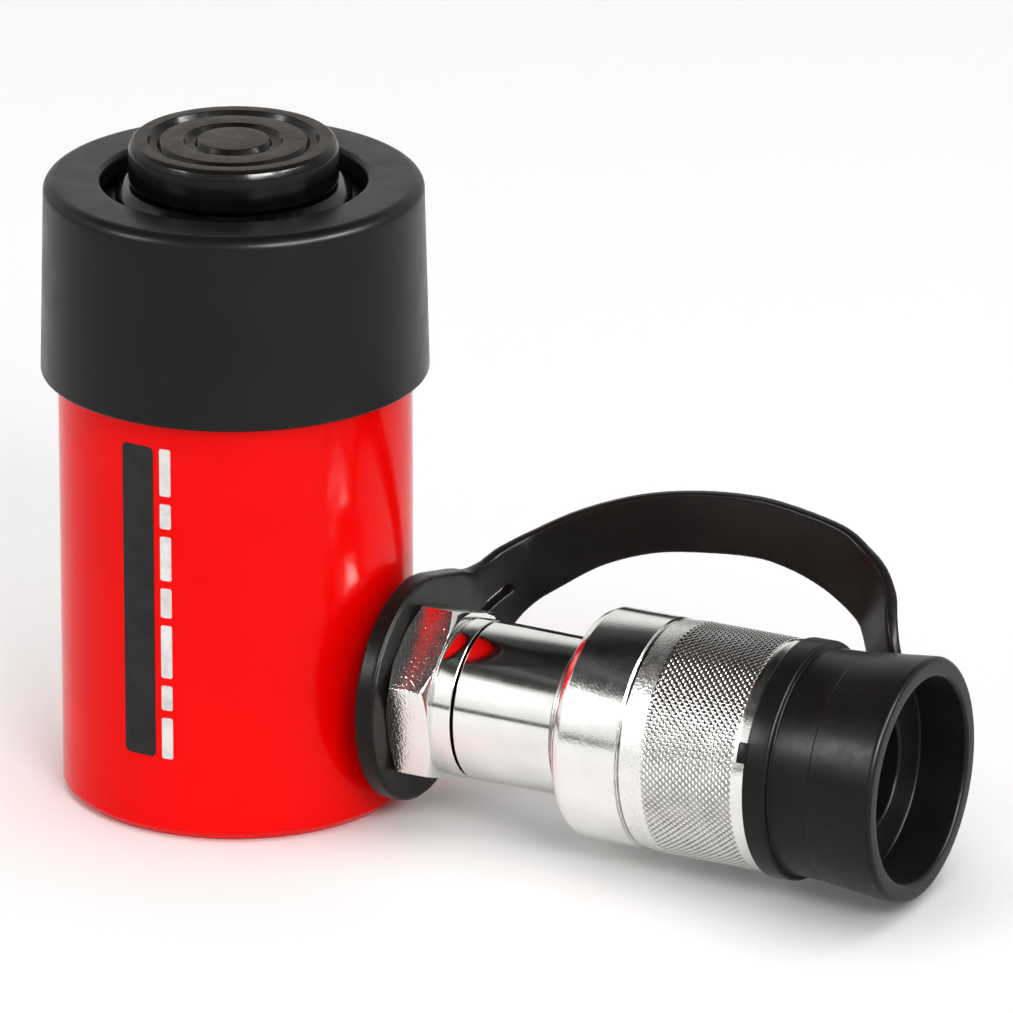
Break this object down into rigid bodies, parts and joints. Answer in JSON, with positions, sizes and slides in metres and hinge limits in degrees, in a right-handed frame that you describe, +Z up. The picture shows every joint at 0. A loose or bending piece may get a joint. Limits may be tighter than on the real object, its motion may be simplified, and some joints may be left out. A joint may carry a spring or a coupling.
{
  "type": "hydraulic cylinder",
  "caption": "Short single-acting spring-return hydraulic cylinder with a grooved saddle, a thread protector cap and a knurled screw-on quick coupler with a tethered dust cap.",
  "frame": {"origin": "centre of the two mounting holes in the base's flat underside, on the cylinder's axis", "axes": "+Z up along the plunger's stroke, +X along the coupler away from the barrel, +Y completes the right-handed frame"},
  "size_m": [0.1543, 0.0692, 0.11],
  "materials": {
    "red_enamel": "glossy red enamel",
    "black_print": "satin black printed film",
    "white_print": "satin white printed film",
    "dark_steel": "black oxide, oiled",
    "bearing_bronze": "turned bronze",
    "seal_urethane": "blue polyurethane",
    "bright_steel": "turned steel",
    "spring_steel": "drawn spring wire",
    "plated_steel": "bright zinc-nickel plating over turned steel",
    "black_rubber": "satin moulded rubber",
    "backup_plastic": "natural white plastic",
    "plunger_chrome": "hard chrome, ground",
    "black_oxide": "black oxide on turned steel, semi-gloss",
    "black_plastic": "satin moulded plastic, fine spark texture"
  },
  "bodies": {
    "base": {"cylinder_barrel": "red_enamel", "side_decal_bar": "black_print", "side_decal_line": "white_print", "stop_ring": "dark_steel", "rod_guide_band": "bearing_bronze", "rod_wiper": "black_rubber", "lower_spring_anchor": "bright_steel", "anchor_seal_washer": "bearing_bronze", "base_anchor_screw": "dark_steel", "return_spring": "spring_steel", "coupler_adapter": "plated_steel", "coupler_housing": "plated_steel", "coupler_joint_seal": "black_rubber", "sleeve_snap_ring": "spring_steel", "valve_guide": "bright_steel", "valve_spring": "spring_steel", "socket_o_ring": "black_rubber", "socket_backup_ring": "backup_plastic", "dust_cap_strap": "black_rubber"},
    "plunger": {"plunger": "plunger_chrome", "piston_u_cup": "seal_urethane", "piston_backup_ring": "backup_plastic", "piston_bearing_ring": "bearing_bronze", "upper_spring_anchor": "bright_steel", "upper_anchor_screw": "dark_steel"},
    "saddle": {"saddle": "black_oxide", "saddle_retaining_ring": "black_rubber"},
    "protector": {"thread_protector": "black_plastic"},
    "sleeve": {"coupler_sleeve": "plated_steel"},
    "valve": {"valve_poppet": "bright_steel", "poppet_seal": "black_rubber"},
    "dust_cap": {"dust_cap": "black_rubber"}
  },
  "joints": [
    {"name": "plunger_stroke", "type": "slide", "parent": "base", "child": "plunger", "axis": [0, 0, 1], "range_m": [0, 0.044], "stiffness_N_per_m": 2500, "springref_m": -0.036, "deforming": ["return_spring"]},
    {"name": "saddle_lift", "type": "slide", "parent": "plunger", "child": "saddle", "axis": [0, 0, 1], "range_m": [0, 0.02]},
    {"name": "protector_lift", "type": "slide", "parent": "base", "child": "protector", "axis": [0, 0, 1], "range_m": [0, 0.045]},
    {"name": "sleeve_spin", "type": "hinge", "parent": "base", "child": "sleeve", "pos_m": [0.085, 0, 0.0216], "axis": [1, 0, 0], "continuous": true},
    {"name": "valve_push", "type": "slide", "parent": "base", "child": "valve", "axis": [-1, 0, 0], "range_m": [0, 0.0035], "stiffness_N_per_m": 400, "springref_m": -0.008, "deforming": ["valve_spring"]},
    {"name": "dust_cap_pull", "type": "slide", "parent": "base", "child": "dust_cap", "axis": [1, 0, 0], "range_m": [0, 0.035], "deforming": ["dust_cap_strap"]}
  ]
}
